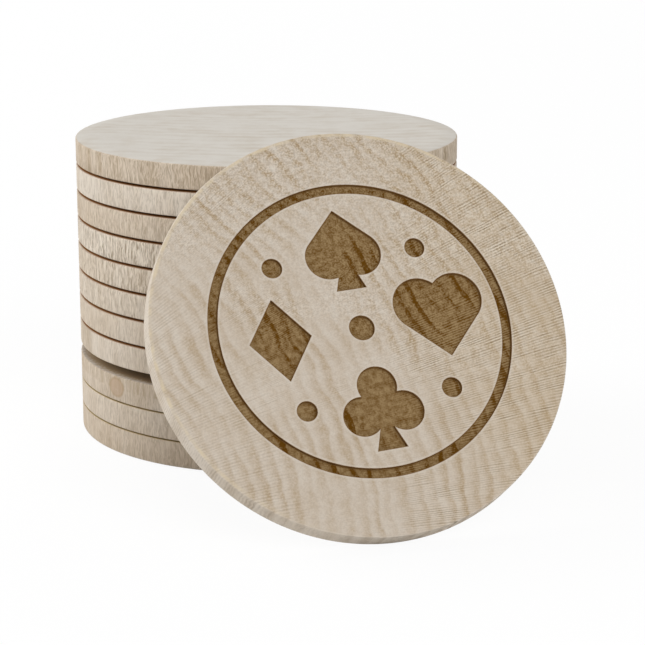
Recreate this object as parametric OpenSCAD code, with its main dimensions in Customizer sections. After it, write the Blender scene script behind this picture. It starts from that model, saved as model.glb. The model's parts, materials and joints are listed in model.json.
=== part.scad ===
// A free-standing set of round wooden game tokens: a stack of plain ones, and one engraved
// token that stands on its rim in front and leans back on the stack. Every token is a slice
// sawn across a turned rod, so its grain runs along its own axis.
// Lengths are millimetres and Z is up. The origin is the centre of the bottom token's underside.
// The set is seen from -Y, with +X to the right.

/* [Token] */
// Diameter of every token
token_d = 40; // [30:0.5:60]
// Thickness of every token
token_t = 2.75; // [2:0.05:5]
// Radius of the eased edge around both faces of a token
edge_r = 0.15; // [0.05:0.05:0.5]
// How far each sanded face falls away at the rim
fall = 0.14; // [0:0.01:0.3]
// Width of the band along the rim in which the face falls away
fall_w = 1.6; // [1:0.1:4]

/* [Stack] */
// Number of plain tokens in the stack
stack_count = 11; // [4:1:14]
// Number of tokens at the foot of the stack, of which the uppermost has cupped and carries the rest
foot_count = 3; // [1:1:3]
// How far the faces of the tokens at the foot fall away at the rim
foot_fall = 0.05; // [0:0.01:0.3]
// How far the middle of the cupped token has risen
cup = 0.9; // [0:0.1:1.5]
// Diameter of the flat on the cupped token's crown
crown_d = 8; // [4:0.5:20]

/* [Leaning token] */
// Angle between the leaning token's face and the vertical
lean = 34.5; // [20:0.5:50]
// Turn of the leaning token about the vertical, towards +X
lean_turn = 14; // [-30:0.5:30]
// Sideways shift of the leaning token along its own face
lean_side = 0.9; // [-6:0.1:6]
// Clearance between the leaning token's back and the edge that it leans on
lean_gap = 0.1; // [0.05:0.05:0.5]

/* [Engraving] */
// Depth of the engraving in the leaning token's face
engrave_depth = 0.35; // [0.1:0.05:0.8]
// Turn of the whole engraved design on the face, counterclockwise
design_turn = 5; // [-180:1:180]
// Outer diameter of the engraved border ring
ring_d = 29; // [27:0.5:29]
// Width of the border ring's line
ring_w = 0.9; // [0.4:0.1:1.2]
// Height of each of the four card-suit signs
suit_h = 8; // [5:0.1:8]
// Distance from the token's centre to the middle of each sign
suit_place = 7.9; // [7:0.1:8]
// Diameter of the dot in the middle of the design
centre_dot_d = 2.4; // [1:0.1:4]
// Diameter of the four dots between the signs
side_dot_d = 1.9; // [1:0.1:2.4]
// Distance from the token's centre to each of the four dots
side_dot_place = 10; // [9:0.1:10.5]

/* [Hidden] */
$fn = 96;
// Every cut runs past the surface by this much
cut_over = 1;
// Wood colour, and how much darker each token of the stack is than the palest one
wood = [0.83, 0.77, 0.68];
tone_shares = [1, 0.96, 0.99, 0.94, 0.98];

token_r = token_d / 2;
// Radius inside which a face doesn't fall away
level_r = token_r - fall_w;
crown_r = crown_d / 2;
stack_h = stack_count * token_t + cup;

// Steps in which a cupped face goes down from its crown
cup_steps = 8;
cup_radii = [for (k = [0 : cup_steps]) crown_r + (level_r - crown_r) * k / cup_steps];

// How far a face stands over a flat one at radius r, where its middle has risen by c
function rise(r, c) = c * (1 - pow((r - crown_r) / (level_r - crown_r), 2));

// Height over the table at which token i of the stack lies
function lie_height(i) = (i - 1) * token_t + (i > foot_count ? cup : 0);

// Horizontal distance from the stack's axis to the middle of the leaning token's lowest edge. Its
// back leans on the eased top edge of the stack, or its upper edge on the side of a taller stack.
foot_on_edge =
    token_r - edge_r + (stack_h - fall - 2 * edge_r) * tan(lean)
    + (fall + 2 * edge_r + lean_gap) / cos(lean);
foot_on_side = token_r + lean_gap + edge_r + 2 * (token_r - edge_r) * sin(lean);
foot_y = min(foot_on_edge, foot_on_side);

// A heart is a square on its corner with a half-square circle on each upper side; these give
// its square's side and the height of the square's middle, as shares of the heart's height
heart_side_share = 1 / (0.5 + 3 / (2 * sqrt(2)));
heart_rise_share = -(0.5 - 1 / (2 * sqrt(2))) * heart_side_share / 2;

// Shares of a sign's height
diamond_width_share = 0.74;
spade_leaf_share = 0.84;
stem_top_share = 0.06;
stem_foot_share = 0.36;
stem_height_share = 0.4;
club_leaf_share = 0.47;
club_spread_share = 0.25;
club_low_share = -0.07;
club_core_share = 0.3;
club_core_low_share = -0.03;

// Names count from the bottom of the stack: stack_token_01, stack_token_02 and so on
function stack_name(i) = str("stack_token_", i < 10 ? "0" : "", i);

// A plain token that lies on z = 0. Its faces fall away by f at the rim, so that a thin dark gap
// shows between two tokens of a stack, and both edges are eased. With c, it has cupped: it keeps
// its thickness, but its middle has risen by c.
module token_blank(f, c = 0) {
    edge_rise = f + edge_r;
    radii = c > 0 ? cup_radii : [level_r];
    last = len(radii) - 1;
    rotate_extrude() {
        polygon(concat(
            [[0, c]],
            [for (r = radii) [r, rise(r, c)]],
            [[token_r - edge_r, f], [token_r - edge_r, token_t - f]],
            [for (k = [last : -1 : 0]) [radii[k], token_t + rise(radii[k], c)]],
            [[0, token_t + c]]
        ));
        translate([level_r, edge_rise])
            square([fall_w, token_t - 2 * edge_rise]);
        for (z = [edge_rise, token_t - edge_rise])
            translate([token_r - edge_r, z])
                circle(edge_r);
    }
}

// Token number i of the stack, counted from the bottom
module stack_token(i) {
    color(wood * tone_shares[i % len(tone_shares)])
        translate([0, 0, lie_height(i)])
            token_blank(i > foot_count ? fall : foot_fall, i == foot_count ? cup : 0);
}

// A heart of height h around the origin
module heart(h) {
    side = h * heart_side_share;
    translate([0, h * heart_rise_share])
        rotate(45) {
            square(side, center = true);
            translate([side / 2, 0])
                circle(d = side);
            translate([0, side / 2])
                circle(d = side);
        }
}

// The flared stem under a spade or a club of height h
module stem(h) {
    top = h * (stem_height_share - 1 / 2);
    polygon([
        [-h * stem_foot_share / 2, -h / 2],
        [h * stem_foot_share / 2, -h / 2],
        [h * stem_top_share / 2, top],
        [-h * stem_top_share / 2, top]
    ]);
}

// A spade of height h around the origin: a heart on its head, on a stem
module spade(h) {
    leaf = h * spade_leaf_share;
    translate([0, (h - leaf) / 2])
        rotate(180)
            heart(leaf);
    stem(h);
}

// A club of height h around the origin: three round leaves on a stem, with a core between them
module club(h) {
    leaf = h * club_leaf_share;
    translate([0, (h - leaf) / 2])
        circle(d = leaf);
    for (side = [-1, 1])
        translate([side * h * club_spread_share, h * club_low_share])
            circle(d = leaf);
    translate([0, h * club_core_low_share])
        rotate(45)
            square(h * club_core_share / sqrt(2), center = true);
    stem(h);
}

// A diamond of height h around the origin
module diamond(h) {
    w = h * diamond_width_share;
    polygon([[0, -h / 2], [w / 2, 0], [0, h / 2], [-w / 2, 0]]);
}

// The whole engraved design, flat: a border ring, four card-suit signs and five dots
module design() {
    difference() {
        circle(d = ring_d);
        circle(d = ring_d - 2 * ring_w);
    }
    translate([0, suit_place])
        spade(suit_h);
    translate([suit_place, 0])
        heart(suit_h);
    translate([0, -suit_place])
        club(suit_h);
    translate([-suit_place, 0])
        diamond(suit_h);
    circle(d = centre_dot_d);
    for (a = [45 : 90 : 315])
        rotate(a)
            translate([side_dot_place, 0])
                circle(d = side_dot_d);
}

// Puts a token that lies face up on z = 0 on its rim, leaning back on the stack
module lean_on_stack() {
    rotate(lean_turn)
        translate([lean_side, -foot_y, edge_r])
            rotate([90 - lean, 0, 0])
                translate([0, token_r - edge_r, -fall - edge_r])
                    children();
}

// The token in front, with the design cut into its face
module engraved_token() {
    color(wood)
        lean_on_stack()
            difference() {
                token_blank(fall);
                translate([0, 0, token_t - engrave_depth])
                    linear_extrude(engrave_depth + cut_over)
                        rotate(design_turn)
                            design();
            }
}

for (i = [1 : stack_count])
    stack_token(i);
engraved_token();
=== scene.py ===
"""A stack of plain wooden game tokens, and an engraved one that leans on it.

Every token is a slice of beech sawn across the grain, sanded on both faces and left bare. The
engraved one has a border ring, four card-suit signs and five dots burnt into its face.
Sizes are metres, except in the shaders, which work in millimetres of the token's own frame:
z runs through the token from its back to its face, and y runs up its face.
"""

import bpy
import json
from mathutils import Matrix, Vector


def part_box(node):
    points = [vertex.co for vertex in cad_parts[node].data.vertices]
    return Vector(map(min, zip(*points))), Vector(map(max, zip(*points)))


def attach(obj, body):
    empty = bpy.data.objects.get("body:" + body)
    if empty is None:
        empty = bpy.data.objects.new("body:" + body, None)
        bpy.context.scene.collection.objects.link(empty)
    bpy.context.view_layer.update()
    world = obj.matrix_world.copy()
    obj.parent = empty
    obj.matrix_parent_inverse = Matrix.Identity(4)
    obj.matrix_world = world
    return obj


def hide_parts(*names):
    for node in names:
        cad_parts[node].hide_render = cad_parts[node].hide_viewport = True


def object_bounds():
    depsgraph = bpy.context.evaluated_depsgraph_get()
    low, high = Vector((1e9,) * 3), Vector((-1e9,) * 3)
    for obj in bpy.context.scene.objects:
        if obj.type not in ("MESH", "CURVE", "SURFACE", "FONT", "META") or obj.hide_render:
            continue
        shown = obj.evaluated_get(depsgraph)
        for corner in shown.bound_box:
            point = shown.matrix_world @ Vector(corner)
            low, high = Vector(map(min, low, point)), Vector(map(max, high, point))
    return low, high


bl_info = {
    "name": "Wooden game tokens",
    "version": (1, 0, 0),
    "blender": (4, 5, 0),
    "location": "View3D > Sidebar > Tokens",
    "description": "Stack of plain wooden tokens with an engraved one leaning on it",
    "category": "Add Mesh",
}

import json
import math
from collections import namedtuple

import bmesh
import bpy
from bpy.props import FloatProperty, FloatVectorProperty, IntProperty, PointerProperty
from mathutils import Euler, Matrix, Vector

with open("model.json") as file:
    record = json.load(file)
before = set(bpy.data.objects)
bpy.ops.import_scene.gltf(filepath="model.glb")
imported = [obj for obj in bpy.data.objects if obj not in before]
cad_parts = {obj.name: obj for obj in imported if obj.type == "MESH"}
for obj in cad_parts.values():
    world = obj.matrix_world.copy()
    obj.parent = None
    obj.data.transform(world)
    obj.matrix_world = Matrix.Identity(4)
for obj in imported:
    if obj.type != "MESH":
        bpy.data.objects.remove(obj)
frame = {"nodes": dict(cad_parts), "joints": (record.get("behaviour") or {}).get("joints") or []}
CAD_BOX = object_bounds()

MM = 0.001

STACK = sorted(name for name in frame["nodes"] if name.startswith("stack_token_"))
# The tokens at the foot lie closer together, and the uppermost of them has cupped
FOOT = STACK[:3]
CUPPED = FOOT[-1]
ENGRAVED = "engraved_token"
FIRST_LOW, FIRST_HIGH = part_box(STACK[0])
TOKEN_R = (FIRST_HIGH.x - FIRST_LOW.x) / 2
TOKEN_T = FIRST_HIGH.z - FIRST_LOW.z
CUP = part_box(CUPPED)[1].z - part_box(CUPPED)[0].z - TOKEN_T
TIP = next(joint for joint in frame["joints"] if joint["name"] == "engraved_tip")


# Properties

def length(name, about, millimetres):
    """A length that a user can change, given in millimetres."""
    return FloatProperty(name=name, description=about, default=millimetres * MM,
                         min=0, precision=6, unit="LENGTH")


def amount(name, about, value, top=1):
    """A plain number from nothing to its top."""
    return FloatProperty(name=name, description=about, default=value, min=0, max=top)


def angle(name, about, degrees):
    """An angle that a user can change, given in degrees."""
    return FloatProperty(name=name, description=about, default=math.radians(degrees),
                         subtype="ANGLE")


def colour(name, about, value):
    """A linear colour."""
    return FloatVectorProperty(name=name, description=about, default=value, min=0, max=1,
                               size=3, subtype="COLOR")


class TokenShape(bpy.types.PropertyGroup):
    """The form that all tokens share. Diameter and thickness come from the frame."""

    rim_steps: IntProperty(name="Rim steps", description="Points around the rim",
                           default=288, min=32)
    edge_steps: IntProperty(name="Edge steps", description="Faces across an eased edge",
                            default=4, min=1)
    edge_radius: length("Edge radius", "Radius of the eased edge around a face", 0.15)
    fall: length("Fall", "How far a face falls away at the rim", 0.14)
    foot_fall: length("Foot fall", "The same on the tokens at the foot of the stack", 0.05)
    fall_width: length("Fall width", "Width of the band in which a face falls away", 1.6)
    guard_width: length("Guard width", "Width of the flat ring that holds the face level", 1)
    crown_width: length("Crown width", "Diameter of the flat on the cupped token", 8)
    cup_steps: IntProperty(name="Cup steps", description="Rings from the crown to the rim band",
                           default=8, min=1)


class DesignShape(bpy.types.PropertyGroup):
    """The engraved design, around the middle of the face."""

    depth: length("Depth", "Depth of the engraving", 0.35)
    over: length("Overrun", "How far a cutter stands over the face", 0.5)
    turn: angle("Turn", "Turn of the design, counterclockwise", 5)
    ring_d: length("Ring diameter", "Outer diameter of the border ring", 29)
    ring_w: length("Ring width", "Width of the border ring's line", 0.9)
    suit_h: length("Sign height", "Height of each card-suit sign", 8)
    suit_place: length("Sign place", "From the token's centre to a sign's middle", 7.9)
    centre_dot_d: length("Centre dot", "Diameter of the dot in the middle", 2.4)
    side_dot_d: length("Side dot", "Diameter of the four dots between the signs", 1.9)
    side_dot_place: length("Side dot place", "From the token's centre to a side dot", 10)


class WoodLook(bpy.types.PropertyGroup):
    """Bare beech, seen on the end grain and along the fibres."""

    cream: colour("Cream side", "Long grain of the palest tokens", (0.68, 0.60, 0.505))
    brown: colour("Brown side", "Long grain of the brownest token", (0.56, 0.455, 0.345))
    # Partly the pale end grain, partly painted sheen: the whitish grazing reflection of the top
    # face
    face: colour("Face", "Sanded end grain of the stack's tokens", (0.635, 0.60, 0.545))
    engraved_face: colour("Engraved face", "Sanded end grain of the engraved token",
                          (0.588, 0.508, 0.42))
    engraved_tan: colour("Engraved face, tan", "The same towards its right edge",
                         (0.55, 0.452, 0.34))
    late: colour("Late wood", "The rings' outer bands, and yellowed patches", (0.30, 0.17, 0.03))
    early: colour("Early wood", "The palest patches", (0.84, 0.83, 0.78))
    dark: colour("Dark fibres", "Rays and pores", (0.24, 0.18, 0.11))
    light: colour("Light fibres", "Raised fibres", (0.86, 0.77, 0.64))
    # Painted highlight: a warm pale line inside the engraved token's edge, on its lit upper left
    rim_highlight: colour("Warm edge", "Where the sander has warmed the engraved token's edge",
                 (0.70, 0.59, 0.42))
    # Painted shade: the next three colours darken the seams between tokens and the wide gap
    painted_seam_shade: colour("Stained edge", "Saw stain on the edges of the stack's faces",
                  (0.31, 0.127, 0.018))
    painted_foot_shade: colour("Stained foot", "The same on the tokens at the foot, paler and yellower",
                       (0.40, 0.285, 0.11))
    painted_gap_shade: colour("Stained gap", "The same in the wide gap, greyer", (0.35, 0.25, 0.135))
    knot: colour("Knot", "The pin knot on the side of one token", (0.51, 0.37, 0.255))
    roughness: amount("Roughness", "Roughness of the sanded wood", 0.62)
    specular: amount("Specular", "Specular level of the dull, unvarnished wood", 0.04)
    # How strongly that painted shade darkens the seams and the wide gap
    painted_shade_share: amount("Stain share", "How strongly the edges are stained", 0.92)
    relief: length("Relief", "Height of the fibres over the pores", 0.03)


class BurnLook(bpy.types.PropertyGroup):
    """What the engraving has burnt."""

    floor: colour("Burnt floor", "Burnt early wood", (0.325, 0.222, 0.108))
    char: colour("Char", "Burnt late wood, rays and pores", (0.12, 0.05, 0.004))
    # Darker along the walls of a cut: burn on the walls, and painted shade on the floor beside them
    edge: colour("Burnt edge", "Where the burn is deepest, along the walls",
                 (0.21, 0.11, 0.035))
    # Painted highlight: a pale band on the face round each cut, with its width and strength below
    cut_highlight: colour("Halo", "Wood beside a cut, which the cut's heat has bleached",
                 (0.66, 0.60, 0.52))
    edge_width: length("Edge width", "Width of the burnt edge inside a cut", 0.14)
    cut_highlight_width: length("Halo width", "Width of the bleached wood beside a cut", 0.3)
    cut_highlight_share: amount("Halo share", "How strongly that wood is bleached", 0.4)


class Studio(bpy.types.PropertyGroup):
    """Floor, lamps and camera. A lamp's azimuth is 0 in front of the tokens and 90 on the right."""

    floor_size: length("Floor size", "Side of the floor", 4000)
    floor_drop: length("Floor drop", "How far the floor lies under the tokens", 0.02)
    floor_white: amount("Floor white", "Paleness of the floor under the lamps", 0.8)
    floor_glow: amount("Floor glow", "Share of plain white in what the camera sees of it", 0.92)
    sky: amount("Sky", "Strength of the even light from all sides", 0.36, 4)
    left_power: amount("Left power", "Watts of the lamp on the left", 4.4, 100)
    left_azimuth: angle("Left azimuth", "Where the left lamp stands", -110)
    left_height: angle("Left height", "How high the left lamp stands", 27)
    right_power: amount("Right power", "Watts of the lamp on the right", 3.4, 100)
    right_azimuth: angle("Right azimuth", "Where the right lamp stands", 20)
    right_height: angle("Right height", "How high the right lamp stands", 35)
    back_power: amount("Back power", "Watts of the lamp behind", 1.0, 100)
    back_azimuth: angle("Back azimuth", "Where the back lamp stands", 170)
    back_height: angle("Back height", "How high the back lamp stands", 25)
    lamp_size: length("Lamp size", "Side of a lamp", 500)
    lamp_distance: length("Lamp distance", "From the tokens to a lamp", 800)
    camera_back: length("Camera distance", "From the origin back to the camera", 224.2)
    camera_height: length("Camera height", "Height of the camera over the floor", 67.75)
    camera_dip: angle("Camera dip", "How far the camera looks down", 14.33)
    camera_turn: angle("Camera turn", "How far it looks to the right", 1.5)
    lens: FloatProperty(name="Lens", description="Focal length in millimetres", default=120.07)


# Mesh work

# A normal points along an axis when its part along that axis is over this
ALONG = 0.9
# Points nearer than this lie in one place
NEAR = TOKEN_T / 100
# Faces that meet at less than this angle are shaded as one
SMOOTH_ANGLE = math.radians(30)


def deselect_all():
    """Leaves nothing selected, so that an operator acts only on what is picked next."""
    if bpy.context.object and bpy.context.object.mode != "OBJECT":
        bpy.ops.object.mode_set(mode="OBJECT")
    bpy.ops.object.select_all(action="DESELECT")


def pick(obj):
    """Selects one object alone and makes it the active one."""
    deselect_all()
    obj.select_set(True)
    bpy.context.view_layer.objects.active = obj


def select_parts(obj, kind, wanted):
    """Selects, in edit mode, the "faces" or "edges" for which wanted(part) is true."""
    bpy.ops.mesh.select_mode(type={"faces": "FACE", "edges": "EDGE"}[kind])
    mesh = bmesh.from_edit_mesh(obj.data)
    for part in (*mesh.verts, *mesh.edges, *mesh.faces):
        part.select = False
    for part in getattr(mesh, kind):
        if wanted(part):
            part.select_set(True)
    mesh.select_flush_mode()
    bmesh.update_edit_mesh(obj.data)


def place(obj, matrix):
    """Moves the object and puts its place into its mesh."""
    obj.matrix_world = matrix
    pick(obj)
    bpy.ops.object.transform_apply(location=True, rotation=True, scale=True)


def copy_of(obj, name):
    """A copy with a mesh of its own."""
    pick(obj)
    bpy.ops.object.duplicate(linked=False)
    made = bpy.context.object
    made.name = name
    made.data.name = name
    return made


def is_ring_edge(edge, radius):
    """Whether both ends of the edge lie this far from the middle."""
    return all(abs(math.hypot(v.co.x, v.co.y) - radius) < NEAR for v in edge.verts)


def is_rim_edge(edge, height):
    """Whether the edge lies on the outer rim at this height."""
    return is_ring_edge(edge, TOKEN_R) and all(abs(v.co.z - height) < NEAR for v in edge.verts)


def raise_middle(token, shape, cup):
    """Insets both faces, which are selected, in rings, and raises the rings into a dome."""
    level_r = TOKEN_R - shape.fall_width
    crown_r = shape.crown_width / 2
    step = (level_r - crown_r) / shape.cup_steps
    for _ in range(shape.cup_steps):
        bpy.ops.mesh.inset(thickness=step)
    for inward in range(1, shape.cup_steps + 1):
        radius = level_r - inward * step
        rise = cup * (1 - ((radius - crown_r) / (level_r - crown_r)) ** 2)
        select_parts(token, "edges", lambda edge: is_ring_edge(edge, radius))
        bpy.ops.transform.translate(value=(0, 0, rise))


def add_blank(name, shape, fall, cup=0):
    """A plain token that lies on z = 0. Its faces fall away to the rim, and its edges are eased.

    With a cup, it keeps its thickness, but its middle has risen by that much.
    """
    deselect_all()
    bpy.ops.mesh.primitive_cylinder_add(vertices=shape.rim_steps, radius=TOKEN_R, depth=TOKEN_T,
                                        location=(0, 0, TOKEN_T / 2))
    token = bpy.context.object
    token.name = name
    bpy.ops.object.transform_apply(location=True)
    bpy.ops.object.mode_set(mode="EDIT")
    select_parts(token, "faces", lambda face: abs(face.normal.z) > ALONG)
    bpy.ops.mesh.inset(thickness=shape.fall_width)
    if cup:
        raise_middle(token, shape, cup)
    else:
        bpy.ops.mesh.inset(thickness=shape.guard_width)
    for height, way in ((0, 1), (TOKEN_T, -1)):
        select_parts(token, "edges", lambda edge: is_rim_edge(edge, height))
        bpy.ops.transform.translate(value=(0, 0, way * fall))
    rims = (fall, TOKEN_T - fall)
    select_parts(token, "edges", lambda edge: any(is_rim_edge(edge, z) for z in rims))
    bpy.ops.mesh.bevel(offset=shape.edge_radius, segments=shape.edge_steps, affect="EDGES")
    bpy.ops.object.mode_set(mode="OBJECT")
    return token


def smooth(obj):
    """Smooth shading over gentle bends and crisp cut edges."""
    pick(obj)
    bpy.ops.object.shade_smooth_by_angle(angle=SMOOTH_ANGLE)


def finish_piece(piece, node, material):
    """Gives a piece its finish and ties it to the node that it stands for."""
    piece.data.materials.clear()
    piece.data.materials.append(material)
    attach(piece, node)
    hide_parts(node)


# Cutters of the engraved design

def heart_measures(height):
    """Side of a heart's square, and how far the square's middle lies from the heart's.

    The square stands on its corner, and a circle as wide as its side sits on each upper side.
    """
    side = height / (0.5 + 3 / (2 * math.sqrt(2)))
    return side, -(0.5 - 1 / (2 * math.sqrt(2))) * side / 2


# Shares of a sign's height
SPADE_LEAF = 0.84
CLUB_LEAF = 0.47
CLUB_SPREAD = 0.25
CLUB_LOW = -0.07
CLUB_CORE = 0.3
CLUB_CORE_LOW = -0.03
STEM_TOP = 0.06
STEM_FOOT = 0.36
STEM_HEIGHT = 0.4
DIAMOND_WIDTH = 0.74

# Sides of a round cutter. The border ring has twice as many.
ARC_STEPS = 96


class Cutters:
    """Collects the solids that cut the design, standing on the engraving's floor."""

    def __init__(self, design):
        self.low = TOKEN_T - design.depth
        self.tall = design.depth + design.over
        self.made = []

    def keep(self):
        """Keeps the object that was just made as a cutter."""
        self.made.append(bpy.context.object)

    def disc(self, x, y, diameter):
        """A round cutter."""
        deselect_all()
        bpy.ops.mesh.primitive_cylinder_add(vertices=ARC_STEPS, radius=diameter / 2,
                                            depth=self.tall,
                                            location=(x, y, self.low + self.tall / 2))
        self.keep()

    def lozenge(self, x, y, wide, high):
        """A block on its corner, with its tips on the axes."""
        deselect_all()
        bpy.ops.mesh.primitive_cylinder_add(vertices=4, radius=0.5, depth=1)
        bpy.context.object.scale = (wide, high, self.tall)
        bpy.context.object.location = (x, y, self.low + self.tall / 2)
        self.keep()

    def stem(self, x, y, height):
        """The flared stem of a sign whose middle is at x, y."""
        deselect_all()
        stem_h = height * STEM_HEIGHT
        bpy.ops.mesh.primitive_cube_add(size=1)
        block = bpy.context.object
        block.scale = (height * STEM_FOOT, stem_h, self.tall)
        block.location = (x, y - height / 2 + stem_h / 2, self.low + self.tall / 2)
        bpy.ops.object.mode_set(mode="EDIT")
        select_parts(block, "faces", lambda face: face.normal.y > ALONG)
        bpy.ops.transform.resize(value=(STEM_TOP / STEM_FOOT, 1, 1))
        bpy.ops.object.mode_set(mode="OBJECT")
        self.keep()

    def ring(self, outer_d, width):
        """A flat ring around the middle of the face."""
        deselect_all()
        bpy.ops.mesh.primitive_cylinder_add(vertices=ARC_STEPS * 2, radius=outer_d / 2,
                                            depth=self.tall, end_fill_type="NOTHING",
                                            location=(0, 0, self.low + self.tall / 2))
        ring = bpy.context.object
        solidify = ring.modifiers.new("wall", "SOLIDIFY")
        solidify.thickness = width
        solidify.offset = -1
        bpy.ops.object.modifier_apply(modifier=solidify.name)
        self.keep()

    def heart(self, x, y, height, up=1):
        """A heart, or with up = -1 a heart on its head."""
        side, rise = heart_measures(height)
        y += up * rise
        self.lozenge(x, y, side * math.sqrt(2), side * math.sqrt(2))
        for way in (-1, 1):
            self.disc(x + way * side / math.sqrt(8), y + up * side / math.sqrt(8), side)

    def spade(self, x, y, height):
        """A heart on its head, on a stem."""
        leaf = height * SPADE_LEAF
        self.heart(x, y + (height - leaf) / 2, leaf, up=-1)
        self.stem(x, y, height)

    def club(self, x, y, height):
        """Three round leaves on a stem, with a core between them."""
        leaf = height * CLUB_LEAF
        self.disc(x, y + (height - leaf) / 2, leaf)
        for way in (-1, 1):
            self.disc(x + way * height * CLUB_SPREAD, y + height * CLUB_LOW, leaf)
        self.lozenge(x, y + height * CLUB_CORE_LOW, height * CLUB_CORE, height * CLUB_CORE)
        self.stem(x, y, height)

    def joined(self, turn):
        """All cutters as one object, turned about the middle of the face."""
        deselect_all()
        for cutter in self.made:
            cutter.select_set(True)
        bpy.context.view_layer.objects.active = self.made[0]
        bpy.ops.object.transform_apply(location=True, rotation=True, scale=True)
        bpy.ops.object.join()
        whole = bpy.context.object
        place(whole, Matrix.Rotation(turn, 4, "Z"))
        return whole


def add_cutters(design):
    """The whole design as one cutter."""
    cutters = Cutters(design)
    cutters.ring(design.ring_d, design.ring_w)
    cutters.spade(0, design.suit_place, design.suit_h)
    cutters.heart(design.suit_place, 0, design.suit_h)
    cutters.club(0, -design.suit_place, design.suit_h)
    cutters.lozenge(-design.suit_place, 0, design.suit_h * DIAMOND_WIDTH, design.suit_h)
    cutters.disc(0, 0, design.centre_dot_d)
    for quarter in range(4):
        way = math.radians(45 + 90 * quarter)
        cutters.disc(design.side_dot_place * math.cos(way),
                     design.side_dot_place * math.sin(way), design.side_dot_d)
    return cutters.joined(design.turn)


def cut_design(token, design):
    """Cuts the design into the token's face."""
    cutter = add_cutters(design)
    pick(token)
    cut = token.modifiers.new("cut", "BOOLEAN")
    cut.operation = "DIFFERENCE"
    cut.solver = "EXACT"
    cut.use_self = True
    cut.object = cutter
    bpy.ops.object.modifier_apply(modifier=cut.name)
    bpy.data.objects.remove(cutter)


# Nodes

class Nodes:
    """Adds nodes to one tree. A socket that is given as a value is linked, a plain value is set."""

    def __init__(self, tree):
        self.tree = tree
        self.tree.nodes.clear()

    def fill(self, node, values):
        """Links or sets the inputs of a node."""
        for key, value in values.items():
            if isinstance(value, bpy.types.NodeSocket):
                self.tree.links.new(value, node.inputs[key])
            else:
                node.inputs[key].default_value = value

    def add(self, kind, values, output=0, **settings):
        """A new node with these inputs and settings, as one of its outputs."""
        node = self.tree.nodes.new(kind)
        for name, value in settings.items():
            setattr(node, name, value)
        self.fill(node, values)
        return node.outputs[output]

    def place_group(self, tree, values):
        """A node group with these inputs, as its outputs."""
        node = self.tree.nodes.new("ShaderNodeGroup")
        node.node_tree = tree
        self.fill(node, values)
        return node.outputs

    def end(self, shader, kind="ShaderNodeOutputMaterial"):
        """Ends the tree in this shader."""
        self.fill(self.tree.nodes.new(kind), {"Surface": shader})

    def math(self, operation, *values):
        return self.add("ShaderNodeMath", dict(enumerate(values)), operation=operation)

    def total(self, first, *others):
        for other in others:
            first = self.math("ADD", first, other)
        return first

    def minus(self, a, b):
        return self.math("SUBTRACT", a, b)

    def times(self, first, *others):
        for other in others:
            first = self.math("MULTIPLY", first, other)
        return first

    def least(self, first, *others):
        for other in others:
            first = self.math("MINIMUM", first, other)
        return first

    def hypot(self, x, y):
        return self.math("SQRT", self.total(self.times(x, x), self.times(y, y)))

    def step(self, value, start, end, low=0.0, high=1.0):
        """Goes smoothly from low to high while value goes from start to end."""
        ends = {"Value": value, "From Min": start, "From Max": end, "To Min": low, "To Max": high}
        return self.add("ShaderNodeMapRange", ends, interpolation_type="SMOOTHSTEP")

    def swing(self, noise, spread):
        """From -1 to 1, where the noise goes from its middle less the spread to it plus that."""
        return self.step(noise, 0.5 - spread, 0.5 + spread, -1.0, 1.0)

    def held(self, value):
        """The value, held between 0 and 1."""
        return self.add("ShaderNodeClamp", {"Value": value})

    def own_number(self, whole):
        """A number from 0 to 1 that belongs to this whole number."""
        return self.add("ShaderNodeTexWhiteNoise", {"W": whole}, noise_dimensions="1D")

    def split(self, vector):
        node = self.tree.nodes.new("ShaderNodeSeparateXYZ")
        self.fill(node, {0: vector})
        return node.outputs[:]

    def joined(self, x, y, z):
        return self.add("ShaderNodeCombineXYZ", {0: x, 1: y, 2: z})

    def stretched(self, vector, factors):
        return self.add("ShaderNodeVectorMath", {0: vector, 1: factors}, operation="MULTIPLY")

    def shifted(self, vector, shift):
        return self.add("ShaderNodeVectorMath", {0: vector, 1: shift}, operation="ADD")

    def noise(self, vector, scale=1.0, detail=2.0, roughness=0.5, output=0):
        values = {"Vector": vector, "Scale": scale, "Detail": detail, "Roughness": roughness}
        return self.add("ShaderNodeTexNoise", values, output)

    def mix(self, factor, a, b):
        """Goes from colour a to colour b while the factor goes from 0 to 1."""
        # The sockets 6 and 7 and the output 2 of this node are the ones for colours
        return self.add("ShaderNodeMix", {0: factor, 6: a, 7: b}, 2, data_type="RGBA")


def new_group(name, inputs, outputs):
    """A shader node group with these sockets, given as name: kind."""
    tree = bpy.data.node_groups.new(name, "ShaderNodeTree")
    for sockets, in_out in ((inputs, "INPUT"), (outputs, "OUTPUT")):
        for label, kind in sockets.items():
            tree.interface.new_socket(name=label, in_out=in_out,
                                      socket_type="NodeSocket" + kind)
    nodes = Nodes(tree)
    return nodes, tree.nodes.new("NodeGroupInput").outputs


def close_group(nodes, results):
    """Links the results to the group's outputs."""
    nodes.fill(nodes.tree.nodes.new("NodeGroupOutput"), results)
    return nodes.tree


# The figure of beech, in millimetres. A scale is in repeats a millimetre, and the last of three
# numbers is along the fibres.
LONG_WAVE_SCALE = (0.11, 0.11, 0.02)
SHORT_WAVE_SCALE = (0.45, 0.45, 0.08)
RING_PATCH_SCALE = (0.13, 0.13, 0.05)
STRENGTH_SCALE = (0.1, 0.1, 0.1)
SPECK_SCALE = (5.6, 5.6, 0.6)
BLOT_SCALE = (2.2, 2.2, 0.5)
STREAK_SCALE = (6.2, 6.2, 0.7)
STROKE_SCALE = (4.6, 4.6, 0.6)
STREAK_SWAY_SCALE = (0.55, 0.55, 0.7)
CLOUD_SCALE = (0.3, 0.3, 0.1)
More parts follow.
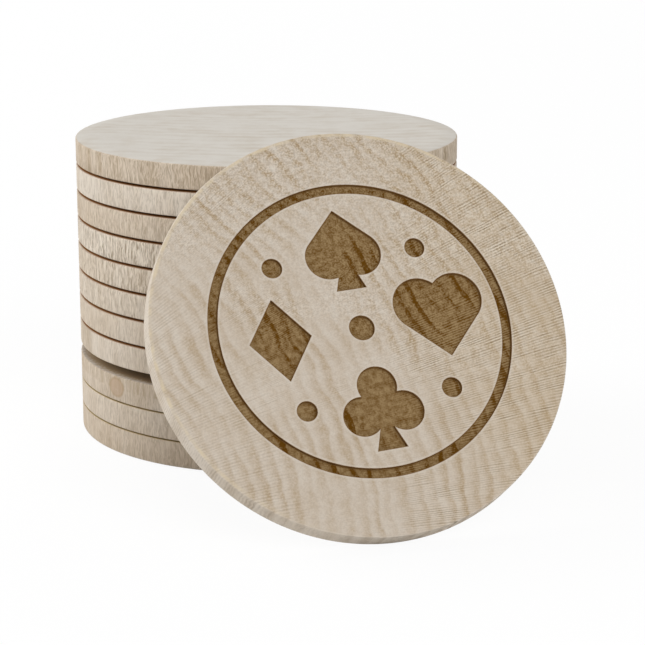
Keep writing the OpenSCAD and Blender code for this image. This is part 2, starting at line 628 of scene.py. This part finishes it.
# The same for the rays, by the way round the pith, away from it and along the fibres
RAY_SWAY_SCALE = (0.9, 0.12, 1.0)
RAY_BREAK_SCALE = (1.5, 0.35, 0.45)
# How far the waves push the growth rings in and out
LONG_WAVE = 3.0
SHORT_WAVE = 0.9
# How unevenly wide the rings are, in rings, and how soon that changes away from the pith
RING_DRIFT = 1.4
RING_DRIFT_SCALE = 0.21
# Rays in a millimetre round the pith, near it and beyond the place where they split
RAY_DENSITIES = (2.7, 5.0)
# How far from the pith the rays start to split, and where all have
RAY_SPLIT = (40.0, 50.0)
# How far rays, and streaks and strokes, sway to their sides
RAY_SWAY = 0.4
STREAK_SWAY = (0.6, 0.6, 0.0)
# How strong the clouds of colour are
CLOUD_DEPTH = 0.1


def spotted(nodes, place, scale, spread, roughness, detail=2):
    """Spots that go from -1 to 1."""
    noise = nodes.noise(nodes.stretched(place, scale), detail=detail, roughness=roughness)
    return nodes.swing(noise, spread)


def pith_places(nodes, given, seeded):
    """The place by distance from the pith, by the way round it and along the fibres.

    Long waves and short ones push the distance in and out.
    """
    long_wave = nodes.noise(nodes.stretched(seeded, LONG_WAVE_SCALE), detail=1)
    short_wave = nodes.noise(nodes.stretched(seeded, SHORT_WAVE_SCALE), detail=1)
    wave = nodes.total(nodes.times(nodes.minus(long_wave, 0.5), LONG_WAVE),
                       nodes.times(nodes.minus(short_wave, 0.5), SHORT_WAVE))
    out = nodes.add("ShaderNodeVectorMath", {0: given["Place"], 1: given["Pith"]},
                    operation="SUBTRACT")
    x, y, z = nodes.split(out)
    pith_x, pith_y, _ = nodes.split(given["Pith"])
    around = nodes.times(nodes.math("ARCTAN2", y, x), nodes.hypot(pith_x, pith_y))
    return nodes.total(nodes.hypot(x, y), wave), around, z


def growth_rings(nodes, seeded, distance, step):
    """Rings of uneven width round the pith, from 0 up. Each darkens outwards.

    Some are deeper than others, and all are deeper in patches.
    """
    drift = nodes.noise(nodes.joined(nodes.times(distance, RING_DRIFT_SCALE), 0.0, 0.0), detail=1)
    turn = nodes.total(nodes.math("DIVIDE", distance, step), nodes.times(drift, RING_DRIFT))
    part = nodes.math("FRACT", turn)
    own = nodes.own_number(nodes.math("FLOOR", turn))
    band = nodes.times(nodes.step(part, 0.1, 0.75), nodes.step(part, 0.75, 1.0, 1.0, 0.0))
    patch = nodes.noise(nodes.stretched(seeded, RING_PATCH_SCALE), detail=2)
    return nodes.times(band, nodes.total(nodes.times(own, 0.6), 0.4),
                       nodes.step(patch, 0.35, 0.65, 0.35, 1.2))


def ray_lines(nodes, around, distance, z, shift, density):
    """Fine straight lines out from the pith, from -1 to 1. They come and go along their length."""
    place = nodes.joined(around, distance, z)
    sway = nodes.noise(nodes.stretched(place, RAY_SWAY_SCALE), detail=1)
    turn = nodes.total(nodes.times(around, density), nodes.times(sway, density * RAY_SWAY))
    own = nodes.own_number(nodes.math("FLOOR", turn))
    line = nodes.step(nodes.math("PINGPONG", turn, 0.5), 0.1, 0.4, -1.0, 1.0)
    spread = nodes.shifted(nodes.stretched(place, RAY_BREAK_SCALE), shift)
    broken = nodes.swing(nodes.noise(spread, detail=2, roughness=0.6), 0.16)
    line = nodes.times(line, nodes.total(nodes.times(own, 0.6), 0.4),
                       nodes.total(nodes.times(broken, 0.4), 0.6))
    return nodes.total(line, nodes.times(broken, 0.15))


def split_rays(nodes, given, distance, around, z):
    """Rays that split on their way out, so that they stay as close together."""
    near, far = (ray_lines(nodes, around, distance, z, given["Shift"], density)
                 for density in RAY_DENSITIES)
    beyond = nodes.step(distance, *RAY_SPLIT)
    return nodes.total(nodes.times(near, nodes.minus(1.0, beyond)), nodes.times(far, beyond))


def strengths(nodes, given, seeded, share):
    """How strong rays and specks are: most towards one side each, and in patches."""
    patch = nodes.times(spotted(nodes, seeded, STRENGTH_SCALE, 0.2, 0.5), 0.35)
    x, y, _ = nodes.split(given["Place"])
    side_x, side_y, _ = nodes.split(given["Strong Side"])
    ray_side = nodes.times(nodes.total(nodes.times(x, side_x), nodes.times(y, side_y)),
                           MM / TOKEN_R)
    speck_side = nodes.times(nodes.minus(nodes.times(y, side_x), nodes.times(x, side_y)),
                             MM / TOKEN_R)
    ray = nodes.step(nodes.total(nodes.math("ABSOLUTE", ray_side), patch), 0.15, 0.75, 0.15, 1.6)
    speck = nodes.step(nodes.total(speck_side, patch), -0.3, 0.7, 0.5, 1.5)
    return (nodes.times(ray, nodes.step(ray_side, -0.8, 0.4, 0.4, 1.0), share),
            nodes.times(speck, share))


def strokes(nodes, place, factors, start, end):
    """Scattered spindles, some darker than others, from 0 to 1."""
    cells = nodes.tree.nodes.new("ShaderNodeTexVoronoi")
    nodes.fill(cells, {"Vector": nodes.stretched(place, factors), "Scale": 1.0})
    own, _, _ = nodes.split(cells.outputs["Color"])
    return nodes.times(nodes.step(cells.outputs["Distance"], start, end, 1.0, 0.0),
                       nodes.step(own, 0.3, 1.0))


def upright_streaks(nodes, seeded):
    """Wavy streaks along the fibres, and short strokes between them."""
    sway = nodes.noise(nodes.stretched(seeded, STREAK_SWAY_SCALE), detail=1, output=1)
    swayed = nodes.shifted(seeded, nodes.stretched(sway, STREAK_SWAY))
    stroke = strokes(nodes, swayed, STROKE_SCALE, 0.12, 0.34)
    return nodes.total(spotted(nodes, swayed, STREAK_SCALE, 0.18, 0.7), nodes.times(stroke, 0.8))


def tinted(nodes, given, patches, fibres):
    """The base colour, tinted by the patches and then by the fibres."""
    colour_out = given["Base"]
    for tone, low, high in ((patches, "Early", "Late"), (fibres, "Light", "Dark")):
        colour_out = nodes.mix(nodes.held(tone), colour_out, given[high])
        colour_out = nodes.mix(nodes.held(nodes.times(tone, -1.0)), colour_out, given[low])
    return colour_out


def beech_group():
    """Beech in millimetres of the token's own frame, with the fibres along z.

    Growth rings run round the pith, rays run out from it, and fibres are drawn out along z, so
    the faces show end grain and the rim shows long grain. Rim is 1 on the rim and 0 on a face,
    where Face Share dims the figure. The rays are strongest towards Strong Side, weaker on the
    other side, and the specks are strongest a quarter turn to its left. Rings and patches tint
    the wood towards Late and Early, and the fine figure towards Dark and Light. Grain is the
    fine figure around 0.5.
    """
    nodes, given = new_group("beech", {
        "Place": "Vector", "Pith": "Vector", "Shift": "Vector", "Strong Side": "Vector",
        "Rim": "Float", "Face Share": "Float", "Ring Step": "Float", "Ring Depth": "Float",
        "Ray Depth": "Float", "Speck Depth": "Float", "Streak Depth": "Float",
        "Cloud Depth": "Float", "Base": "Color", "Late": "Color", "Early": "Color",
        "Dark": "Color", "Light": "Color",
    }, {"Color": "Color", "Ring": "Float", "Grain": "Float"})
    seeded = nodes.shifted(given["Place"], given["Shift"])
    on_face = nodes.minus(1.0, given["Rim"])
    share = nodes.total(given["Rim"], nodes.times(on_face, given["Face Share"]))

    distance, around, z = pith_places(nodes, given, seeded)
    ring = growth_rings(nodes, seeded, distance, given["Ring Step"])
    ray_strength, speck_strength = strengths(nodes, given, seeded, share)
    ray = nodes.times(split_rays(nodes, given, distance, around, z), ray_strength)

    # Specks and blots are on the faces, most in the late wood, and streaks are on the rim
    speckled = nodes.times(speck_strength, on_face, nodes.total(nodes.times(ring, 0.5), 0.75))
    speck = nodes.times(spotted(nodes, seeded, SPECK_SCALE, 0.18, 0.65), speckled)
    blot = nodes.times(spotted(nodes, seeded, BLOT_SCALE, 0.2, 0.6), speckled, 0.6)
    streak = nodes.times(upright_streaks(nodes, seeded), given["Rim"])
    cloud = spotted(nodes, seeded, CLOUD_SCALE, 0.25, 0.65, detail=4)

    fine = nodes.total(nodes.times(ray, given["Ray Depth"]),
                       nodes.times(speck, given["Speck Depth"]),
                       nodes.times(streak, given["Streak Depth"]))
    band = nodes.times(ring, given["Ring Depth"], share)
    on_rim = nodes.times(band, given["Rim"], 0.5)
    patches = nodes.total(nodes.minus(band, on_rim), nodes.times(blot, given["Speck Depth"]),
                          nodes.times(cloud, given["Cloud Depth"]))
    return close_group(nodes, {
        "Color": tinted(nodes, given, patches, nodes.total(fine, on_rim)),
        "Ring": ring,
        "Grain": nodes.held(nodes.total(0.5, nodes.times(fine, 0.5))),
    })


def heart_distance(nodes, x, y, height):
    """How far x, y lies outside a heart around the origin. x is given without its sign."""
    side, rise = heart_measures(height)
    y = nodes.minus(y, rise)
    square = nodes.times(nodes.minus(nodes.total(x, nodes.math("ABSOLUTE", y)),
                                     side / math.sqrt(2)), math.sqrt(0.5))
    lobe = nodes.hypot(nodes.minus(x, side / math.sqrt(8)), nodes.minus(y, side / math.sqrt(8)))
    return nodes.least(square, nodes.minus(lobe, side / 2))


def stem_distance(nodes, x, y, height):
    """How far x, y lies outside a sign's stem. x is given without its sign."""
    stem_h = height * STEM_HEIGHT
    half_foot = height * STEM_FOOT / 2
    slope = (height * (STEM_FOOT - STEM_TOP) / 2) / stem_h
    up = nodes.total(y, height / 2)
    flank = nodes.times(nodes.total(x, nodes.times(up, slope), -half_foot),
                        1 / math.hypot(1, slope))
    ends = nodes.math("MAXIMUM", nodes.times(up, -1.0), nodes.minus(up, stem_h))
    return nodes.math("MAXIMUM", flank, ends)


def club_distance(nodes, x, y, height):
    """How far x, y lies outside a club around the origin. x is given without its sign."""
    leaf_r = height * CLUB_LEAF / 2
    top_leaf = nodes.hypot(x, nodes.minus(y, height / 2 - leaf_r))
    low_leaf = nodes.hypot(nodes.minus(x, height * CLUB_SPREAD),
                           nodes.minus(y, height * CLUB_LOW))
    core_y = nodes.math("ABSOLUTE", nodes.minus(y, height * CLUB_CORE_LOW))
    core = nodes.times(nodes.minus(nodes.total(x, core_y), height * CLUB_CORE / 2),
                       math.sqrt(0.5))
    return nodes.least(nodes.minus(nodes.least(top_leaf, low_leaf), leaf_r), core,
                       stem_distance(nodes, x, y, height))


def spade_distance(nodes, x, y, height):
    """How far x, y lies outside a spade around the origin. x is given without its sign."""
    leaf = height * SPADE_LEAF
    leaf_y = nodes.times(nodes.minus(y, (height - leaf) / 2), -1.0)
    return nodes.least(heart_distance(nodes, x, leaf_y, leaf),
                       stem_distance(nodes, x, y, height))


def diamond_distance(nodes, x, y, height):
    """How far x, y lies outside a diamond around the origin. Both are given without signs."""
    wide = height * DIAMOND_WIDTH
    flank = math.hypot(wide, height)
    return nodes.total(nodes.times(x, height / flank), nodes.times(y, wide / flank),
                       -wide * height / 2 / flank)


def design_group(design):
    """How far a place on the face lies outside the engraved design, in millimetres."""
    nodes, given = new_group("engraved_design", {"Place": "Vector"}, {"Distance": "Float"})
    turned = nodes.add("ShaderNodeVectorRotate", {"Vector": given["Place"],
                                                  "Angle": -design.turn},
                       rotation_type="Z_AXIS")
    x, y, _ = nodes.split(turned)
    x_size = nodes.math("ABSOLUTE", x)
    y_size = nodes.math("ABSOLUTE", y)
    from_centre = nodes.hypot(x, y)
    height = design.suit_h / MM
    reach = design.suit_place / MM

    ring_middle = (design.ring_d - design.ring_w) / 2 / MM
    ring = nodes.minus(nodes.math("ABSOLUTE", nodes.minus(from_centre, ring_middle)),
                       design.ring_w / 2 / MM)
    centre = nodes.minus(from_centre, design.centre_dot_d / 2 / MM)
    dot_at = design.side_dot_place / MM * math.sqrt(0.5)
    dot = nodes.minus(nodes.hypot(nodes.minus(x_size, dot_at), nodes.minus(y_size, dot_at)),
                      design.side_dot_d / 2 / MM)

    spade = spade_distance(nodes, x_size, nodes.minus(y, reach), height)
    heart = heart_distance(nodes, nodes.math("ABSOLUTE", nodes.minus(x, reach)), y, height)
    club = club_distance(nodes, x_size, nodes.total(y, reach), height)
    diamond = diamond_distance(nodes, nodes.math("ABSOLUTE", nodes.total(x, reach)), y_size,
                               height)

    return close_group(nodes, {
        "Distance": nodes.least(ring, centre, dot, heart, spade, club, diamond),
    })


# Materials

WHITE = (1, 1, 1, 1)

# One token's slice of the log: the pith's place in millimetres beside the token's centre, the
# ring spacing, how strongly rings, rays, specks and streaks show, how brown its side is, how
# much of its figure its faces show, and the way in which the figure gets stronger
Slice = namedtuple("Slice", "pith ring_step ring ray speck streak brown face_share strong_side",
                   defaults=(0.3, (0, 0)))
SLICES = {
    "stack_token_01": Slice((-38, 30), 1.5, 0.15, 0.06, 0.1, 0.28, 0.75),
    "stack_token_02": Slice((45, 20), 1.8, 0.15, 0.06, 0.1, 0.30, 0.45),
    "stack_token_03": Slice((10, 52), 1.3, 0.20, 0.06, 0.1, 0.28, 0.52),
    "stack_token_04": Slice((-48, -12), 1.7, 0.35, 0.08, 0.1, 0.24, 0.20),
    "stack_token_05": Slice((22, -44), 1.4, 0.15, 0.08, 0.1, 0.28, 0.50),
    "stack_token_06": Slice((-30, 40), 1.6, 0.25, 0.08, 0.1, 0.44, 0.30),
    "stack_token_07": Slice((8, 47), 2.2, 0.12, 0.08, 0.1, 0.54, 0.50),
    "stack_token_08": Slice((-15, -50), 1.5, 0.12, 0.12, 0.1, 0.68, 0.15),
    "stack_token_09": Slice((36, 36), 1.6, 0.20, 0.05, 0.1, 0.37, 0.75),
    "stack_token_10": Slice((-52, 14), 1.8, 0.15, 0.05, 0.1, 0.34, 0.00),
    "stack_token_11": Slice((4, 60), 2.0, 0.50, 0.05, 0.1, 0.42, 0.75),
    "engraved_token": Slice((-53, -19.7), 1.4, 0.40, 0.34, 0.23, 0.08, 0.00, 1, (1.0, -0.1)),
}
# How far apart the tokens' figures lie in the noise
SEED_STEP = (17.3, 29.1, 11.9)

# The pin knot on the cupped token's side: its azimuth in degrees, 0 in front and 90 on the
# right, its height over the middle of the side, its radius across the grain, how many times as
# wide as tall it is, and how strong its middle and its rim are
KNOT_AZIMUTH = -50.8
KNOT_RISE = 0.15
KNOT_R = 1.35
KNOT_FLATNESS = 1.2
KNOT_SHARE = 0.68
KNOT_RIM_SHARE = 0.25

# The painted shade in the seams, inside an edge, by depth from the rim: how soon it is full,
# where it starts to fade and where it has gone, and how far that border wanders
SEAM_SHADE_FULL = 0.22
FOOT_SEAM_SHADE_FULL = 0.12
SEAM_SHADE_FADE = (0.9, 1.9)
SEAM_SHADE_WANDER = 1.6
SEAM_SHADE_SCALE = (3.0, 3.0, 0.0)
# How far from the middle of the side a token's upper and lower half begin
HALVES_BLEND = 0.1
# The same painted shade in the wide gap over the cupped token
GAP_FULL = (-0.3, 1.0)
GAP_FADE = (2.5, 10.0)
GAP_WANDER = 6.0
GAP_SCALE = (0.35, 0.35, 0.0)

# Where the painted highlight, a warm pale line inside the engraved token's edge, starts, is full,
# starts to fade and has gone, by depth from the rim
RIM_HIGHLIGHT_LINE = (0.5, 0.25, 0.12, 0.02)

# How far outside a cut's outline the burn on its walls starts to fade and has gone
BURN_REACH = (0.01, 0.06)
# How deep under the face the burn and the painted highlight round the cuts have gone and are
# full, as shares of the engraving's depth
BURN_DEPTH_SHARES = (1.5, 1.2)
# Where the painted highlight round a cut starts to fade, as a share of its width
CUT_HIGHLIGHT_FULL_SHARE = 0.4


def own_place(nodes, matrix):
    """The place in millimetres of the token's own frame, which the matrix puts in the world."""
    here = nodes.add("ShaderNodeTexCoord", {}, "Object")
    return nodes.add("ShaderNodeMapping", {
        "Vector": here,
        "Location": matrix.to_translation(),
        "Rotation": matrix.to_euler(),
        "Scale": (MM, MM, MM),
    }, vector_type="TEXTURE")


def beech(nodes, groups, node, where, face, scene):
    """The bare wood of one token, as the outputs of its group. The face has this colour."""
    look = scene.wood_look
    own = SLICES[node]
    index = list(SLICES).index(node)
    x, y, _ = nodes.split(where)
    radius = nodes.hypot(x, y)
    edge = scene.token_shape.edge_radius / MM
    rim = nodes.step(radius, TOKEN_R / MM - edge, TOKEN_R / MM - edge * 0.2)
    side = [own.brown * b + (1 - own.brown) * c for b, c in zip(look.brown, look.cream)]
    return nodes.place_group(groups["beech"], {
        "Place": where,
        "Pith": (*own.pith, 0),
        "Shift": tuple(index * step for step in SEED_STEP),
        "Strong Side": (*own.strong_side, 0),
        "Rim": rim,
        "Face Share": own.face_share,
        "Ring Step": own.ring_step,
        "Ring Depth": own.ring,
        "Ray Depth": own.ray,
        "Speck Depth": own.speck,
        "Streak Depth": own.streak,
        "Cloud Depth": CLOUD_DEPTH,
        "Base": nodes.mix(rim, face, (*side, 1)),
        "Late": (*look.late, 1),
        "Early": (*look.early, 1),
        "Dark": (*look.dark, 1),
        "Light": (*look.light, 1),
    })


def bare_surface(nodes, base, grain, fully_rough, look):
    """The shader of sanded bare wood, whose fibres stand over its pores.

    Where the mask is 1 the wood is fully rough: over the painted shade in the seams and the gap,
    and where the engraving has charred it.
    """
    bump = nodes.add("ShaderNodeBump", {"Height": nodes.times(grain, -1.0), "Strength": 1.0,
                                        "Distance": look.relief})
    shader = nodes.add("ShaderNodeBsdfPrincipled", {
        "Base Color": base,
        "Normal": bump,
        "Roughness": nodes.step(fully_rough, 0.0, 1.0, look.roughness, 1.0),
        "Specular IOR Level": look.specular,
    })
    nodes.end(shader)


def new_material(name):
    """An empty node material."""
    material = bpy.data.materials.new(name)
    material.use_nodes = True
    return material, Nodes(material.node_tree)


def shade_seams_and_gap(nodes, base, where, node, look):
    """Paints shade into the edges of the faces that lie on another token, and into the wide gap.

    Gives the colour with that painted shade, and where that shade lies.
    """
    x, y, z = nodes.split(where)
    inside = nodes.minus(TOKEN_R / MM, nodes.hypot(x, y))
    middle = TOKEN_T / 2 / MM
    upper = nodes.step(z, middle - HALVES_BLEND, middle + HALVES_BLEND)
    lower = nodes.minus(1.0, upper)
    ragged = nodes.noise(nodes.stretched(where, SEAM_SHADE_SCALE), detail=2)
    depth = nodes.total(inside, nodes.times(nodes.minus(ragged, 0.5), SEAM_SHADE_WANDER))
    full_at = FOOT_SEAM_SHADE_FULL if node in FOOT else SEAM_SHADE_FULL
    ring = nodes.times(nodes.step(inside, 0.0, full_at), nodes.step(depth, *SEAM_SHADE_FADE, 1.0, 0.0))
    # Painted shade only on faces that lie against another token: the bottom token's underside and
    # the top token's upper face stay clear
    if node == STACK[0]:
        ring = nodes.times(ring, upper)
    if node == STACK[-1]:
        ring = nodes.times(ring, lower)
    fully_rough = ring
    # Painted shade in the wide gap, on the cupped token's upper face, from a little inside the rim
    # inwards
    if node == CUPPED:
        cloud = nodes.noise(nodes.stretched(where, GAP_SCALE), detail=2)
        inner = nodes.total(inside, nodes.times(nodes.minus(cloud, 0.5), GAP_WANDER))
        band = nodes.times(nodes.step(depth, *GAP_FULL), nodes.step(inner, *GAP_FADE, 1.0, 0.0),
                           upper)
        base = nodes.mix(nodes.times(band, look.painted_shade_share), base, (*look.painted_gap_shade, 1))
        ring = nodes.times(ring, lower)
        fully_rough = nodes.total(ring, band)
    painted_seam_shade = look.painted_foot_shade if node in FOOT else look.painted_seam_shade
    return nodes.mix(nodes.times(ring, look.painted_shade_share), base, (*painted_seam_shade, 1)), fully_rough


def knotted(nodes, base, where, look):
    """A small roundish pin knot on the side, with a darker rim."""
    way = math.radians(KNOT_AZIMUTH)
    middle = (TOKEN_R / MM * math.sin(way), -TOKEN_R / MM * math.cos(way),
              (TOKEN_T / 2 / MM + KNOT_RISE) * KNOT_FLATNESS)
    flattened = nodes.stretched(where, (1, 1, KNOT_FLATNESS))
    off = nodes.add("ShaderNodeVectorMath", {0: flattened, 1: middle}, 1, operation="DISTANCE")
    base = nodes.mix(nodes.step(off, KNOT_R * 0.7, KNOT_R, KNOT_SHARE, 0.0), base,
                     (*look.knot, 1))
    rim = nodes.times(nodes.step(off, KNOT_R * 0.65, KNOT_R * 0.85),
                      nodes.step(off, KNOT_R * 0.85, KNOT_R * 1.05, 1.0, 0.0))
    return nodes.mix(nodes.times(rim, KNOT_RIM_SHARE), base, (*look.late, 1))


def plain_material(node, groups, matrix, scene):
    """Bare beech for one token of the stack."""
    material, nodes = new_material("beech_" + node)
    where = own_place(nodes, matrix)
    wood = beech(nodes, groups, node, where, (*scene.wood_look.face, 1), scene)
    # Painted shade in the seams and the wide gap, and where it lies
    base, painted_seam_shade = shade_seams_and_gap(nodes, wood["Color"], where, node, scene.wood_look)
    if node == CUPPED:
        base = knotted(nodes, base, where, scene.wood_look)
    bare_surface(nodes, base, wood["Grain"], painted_seam_shade, scene.wood_look)
    return material


def painted_rim_highlight(nodes, base, where, look):
    """Paints a highlight: warm pale patches just inside the edge of the face, on its upper left."""
    x, y, _ = nodes.split(where)
    radius = nodes.hypot(x, y)
    start, full, fade, gone = (TOKEN_R / MM - depth for depth in RIM_HIGHLIGHT_LINE)
    line = nodes.times(nodes.step(radius, start, full), nodes.step(radius, fade, gone, 1.0, 0.0))
    patch = nodes.step(nodes.noise(where, scale=0.8, detail=3), 0.38, 0.62)
    # The painted highlight is strongest on the upper left, the side that the left lamp lights
    left = nodes.step(nodes.times(nodes.minus(y, x), MM / TOKEN_R), -0.9, 0.6)
    return nodes.mix(nodes.times(line, nodes.total(nodes.times(patch, 0.65), 0.15), left),
                     base, (*look.rim_highlight, 1))


def burnt_wood(nodes, wood, where, distance, burn):
    """The burnt colour: the wood's dark figure chars most. Along the walls of a cut it is darker:
    burn on the walls, and painted shade on the floor beside them.
    """
    mottle = nodes.swing(nodes.noise(where, scale=1.7, detail=3, roughness=0.65), 0.2)
    char = nodes.total(nodes.step(wood["Ring"], 0.3, 0.85, 0.05, 0.75),
                       nodes.step(wood["Grain"], 0.38, 0.62, 0.04, 0.66),
                       nodes.times(mottle, 0.32))
    floor = nodes.mix(nodes.held(char), (*burn.floor, 1), (*burn.char, 1))
    # Burn on the walls, and painted shade on the floor beside them
    edge = nodes.step(distance, -burn.edge_width / MM, 0.0, 0.0, 0.8)
    return nodes.mix(edge, floor, (*burn.edge, 1))


def engraved_material(groups, matrix, scene):
    """Bare beech with the design burnt into it."""
    material, nodes = new_material("beech_engraved")
    burn = scene.burn_look
    where = own_place(nodes, matrix)
    look = scene.wood_look
    x, y, z = nodes.split(where)
    rightwards = nodes.times(nodes.total(x, nodes.times(y, 0.1)), MM / TOKEN_R)
    face = nodes.mix(nodes.step(rightwards, 0.0, 0.8), (*look.engraved_face, 1),
                     (*look.engraved_tan, 1))
    wood = beech(nodes, groups, ENGRAVED, where, face, scene)
    # Painted highlight along the lit upper left of the face's edge
    base = painted_rim_highlight(nodes, wood["Color"], where, look)

    distance = nodes.place_group(groups["design"], {"Place": where})["Distance"]
    near_face = nodes.step(z, *((TOKEN_T - scene.design_shape.depth * share) / MM
                                for share in BURN_DEPTH_SHARES))
    # Painted highlight: a pale band on the face round each cut
    cut_highlight = nodes.times(nodes.step(distance, burn.cut_highlight_width * CUT_HIGHLIGHT_FULL_SHARE / MM,
                                  burn.cut_highlight_width / MM, burn.cut_highlight_share, 0.0), near_face)
    base = nodes.mix(cut_highlight, base, (*burn.cut_highlight, 1))
    burnt = nodes.times(nodes.step(distance, *BURN_REACH, 1.0, 0.0), near_face)
    base = nodes.mix(burnt, base, burnt_wood(nodes, wood, where, distance, burn))
    bare_surface(nodes, base, wood["Grain"], burnt, look)
    return material


def floor_material(studio):
    """A pale floor that the camera sees as white, with the tokens' shadow on it."""
    material, nodes = new_material("pale_floor")
    light_path = nodes.tree.nodes.new("ShaderNodeLightPath").outputs
    seen = nodes.math("MAXIMUM", light_path["Is Camera Ray"],
                      nodes.math("MAXIMUM", light_path["Is Glossy Ray"],
                                 light_path["Is Transmission Ray"]))
    paint = nodes.add("ShaderNodeBsdfDiffuse", {"Color": (*[studio.floor_white] * 3, 1)})
    bright = nodes.add("ShaderNodeBsdfDiffuse", {"Color": WHITE})
    glow = nodes.add("ShaderNodeEmission", {"Color": WHITE, "Strength": 1.0})
    shown = nodes.add("ShaderNodeMixShader", {0: studio.floor_glow, 1: bright, 2: glow})
    surface = nodes.add("ShaderNodeMixShader", {0: seen, 1: paint, 2: shown})
    nodes.end(surface)
    return material


# Operators

def stack_matrix(node):
    """Where a token of the stack lies: the middle of its underside."""
    low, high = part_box(node)
    return Matrix.Translation(((low.x + high.x) / 2, (low.y + high.y) / 2, low.z))


def leaning_matrix(shape):
    """Where the leaning token's back is: its foot is the tipping joint's place."""
    axis = Vector(TIP["axis"])
    lean = math.radians(TIP["range_deg"][1])
    turn = Matrix.Rotation(math.atan2(axis.y, axis.x), 4, "Z")
    tilt = Matrix.Rotation(math.pi / 2 - lean, 4, "X")
    from_foot = Matrix.Translation((0, TOKEN_R - shape.edge_radius,
                                    -shape.fall - shape.edge_radius))
    return Matrix.Translation(TIP["pos_m"]) @ turn @ tilt @ from_foot


def wood_groups(scene):
    """The node groups, built once."""
    made = bpy.data.node_groups
    return {"beech": made.get("beech") or beech_group(),
            "design": made.get("engraved_design") or design_group(scene.design_shape)}


class TOKENS_OT_stack(bpy.types.Operator):
    """Makes the plain tokens of the stack"""

    bl_idname = "tokens.stack"
    bl_label = "Stack of plain tokens"

    def execute(self, context):
        scene = context.scene
        shape = scene.token_shape
        groups = wood_groups(scene)
        blanks = {
            "foot": add_blank("foot_blank", shape, shape.foot_fall),
            "cupped": add_blank("cupped_blank", shape, shape.foot_fall, CUP),
            "plain": add_blank("plain_blank", shape, shape.fall),
        }
        for blank in blanks.values():
            smooth(blank)
        for node in STACK:
            kind = "cupped" if node == CUPPED else "foot" if node in FOOT else "plain"
            matrix = stack_matrix(node)
            token = copy_of(blanks[kind], node.replace("stack", "plain"))
            place(token, matrix)
            finish_piece(token, node, plain_material(node, groups, matrix, scene))
        for blank in blanks.values():
            bpy.data.objects.remove(blank)
        return {"FINISHED"}


class TOKENS_OT_engraved(bpy.types.Operator):
    """Makes the engraved token that leans on the stack"""

    bl_idname = "tokens.engraved"
    bl_label = "Engraved token"

    def execute(self, context):
        scene = context.scene
        shape = scene.token_shape
        matrix = leaning_matrix(shape)
        token = add_blank("token_with_design", shape, shape.fall)
        cut_design(token, scene.design_shape)
        smooth(token)
        place(token, matrix)
        finish_piece(token, ENGRAVED, engraved_material(wood_groups(scene), matrix, scene))
        return {"FINISHED"}


def add_lamp(name, studio, power, azimuth, height):
    """A square lamp that points at the tokens."""
    centre = (CAD_BOX[0] + CAD_BOX[1]) / 2
    way = Vector((math.sin(azimuth) * math.cos(height), -math.cos(azimuth) * math.cos(height),
                  math.sin(height)))
    deselect_all()
    bpy.ops.object.light_add(type="AREA", location=centre + way * studio.lamp_distance)
    lamp = bpy.context.object
    lamp.name = name
    lamp.data.energy = power
    lamp.data.size = studio.lamp_size
    lamp.rotation_euler = way.to_track_quat("Z", "Y").to_euler()


def add_world(scene, sky):
    """Even light from all sides, which the camera sees as white."""
    world = bpy.data.worlds.new("even_light")
    world.use_nodes = True
    nodes = Nodes(world.node_tree)
    seen = nodes.tree.nodes.new("ShaderNodeLightPath").outputs["Is Camera Ray"]
    even = nodes.add("ShaderNodeBackground", {"Color": WHITE, "Strength": sky})
    backdrop = nodes.add("ShaderNodeBackground", {"Color": WHITE, "Strength": 1.0})
    surface = nodes.add("ShaderNodeMixShader", {0: seen, 1: even, 2: backdrop})
    nodes.end(surface, "ShaderNodeOutputWorld")
    scene.world = world


class TOKENS_OT_stage(bpy.types.Operator):
    """Makes the floor, the lamps and the camera"""

    bl_idname = "tokens.stage"
    bl_label = "Stage"

    def execute(self, context):
        scene = context.scene
        studio = scene.studio
        deselect_all()
        bpy.ops.mesh.primitive_plane_add(size=studio.floor_size,
                                         location=(0, 0, -studio.floor_drop))
        floor = bpy.context.object
        floor.name = "floor"
        floor.data.materials.append(floor_material(studio))

        for name in ("left", "right", "back"):
            add_lamp(name + "_lamp", studio, getattr(studio, name + "_power"),
                     getattr(studio, name + "_azimuth"), getattr(studio, name + "_height"))
        add_world(scene, studio.sky)

        camera_place = (0, -studio.camera_back, studio.camera_height)
        camera_turn = Euler((math.pi / 2 - studio.camera_dip, 0, -studio.camera_turn))
        bpy.ops.object.camera_add(location=camera_place, rotation=camera_turn)
        camera = bpy.context.object
        camera.name = "camera"
        camera.data.lens = studio.lens
        camera.data.clip_start = MM
        scene.camera = camera
        scene.view_settings.view_transform = "Standard"
        return {"FINISHED"}


class TOKENS_PT_panel(bpy.types.Panel):
    """Lists the steps that make the tokens"""

    bl_idname = "TOKENS_PT_panel"
    bl_label = "Wooden game tokens"
    bl_space_type = "VIEW_3D"
    bl_region_type = "UI"
    bl_category = "Tokens"

    def draw(self, context):
        for operator in OPERATORS:
            self.layout.operator(operator.bl_idname)
        for group in SETTINGS:
            box = self.layout.box()
            settings = getattr(context.scene, group)
            for name in settings.__annotations__:
                box.prop(settings, name)


OPERATORS = (TOKENS_OT_stack, TOKENS_OT_engraved, TOKENS_OT_stage)
SETTINGS = {"token_shape": TokenShape, "design_shape": DesignShape, "wood_look": WoodLook,
            "burn_look": BurnLook, "studio": Studio}
CLASSES = (*SETTINGS.values(), *OPERATORS, TOKENS_PT_panel)


def register():
    for cls in CLASSES:
        bpy.utils.register_class(cls)
    for name, cls in SETTINGS.items():
        setattr(bpy.types.Scene, name, PointerProperty(type=cls))


def unregister():
    for name in SETTINGS:
        delattr(bpy.types.Scene, name)
    for cls in reversed(CLASSES):
        bpy.utils.unregister_class(cls)


def main():
    register()
    bpy.ops.tokens.stack()
    bpy.ops.tokens.engraved()
    bpy.ops.tokens.stage()


if __name__ == "__main__":
    main()
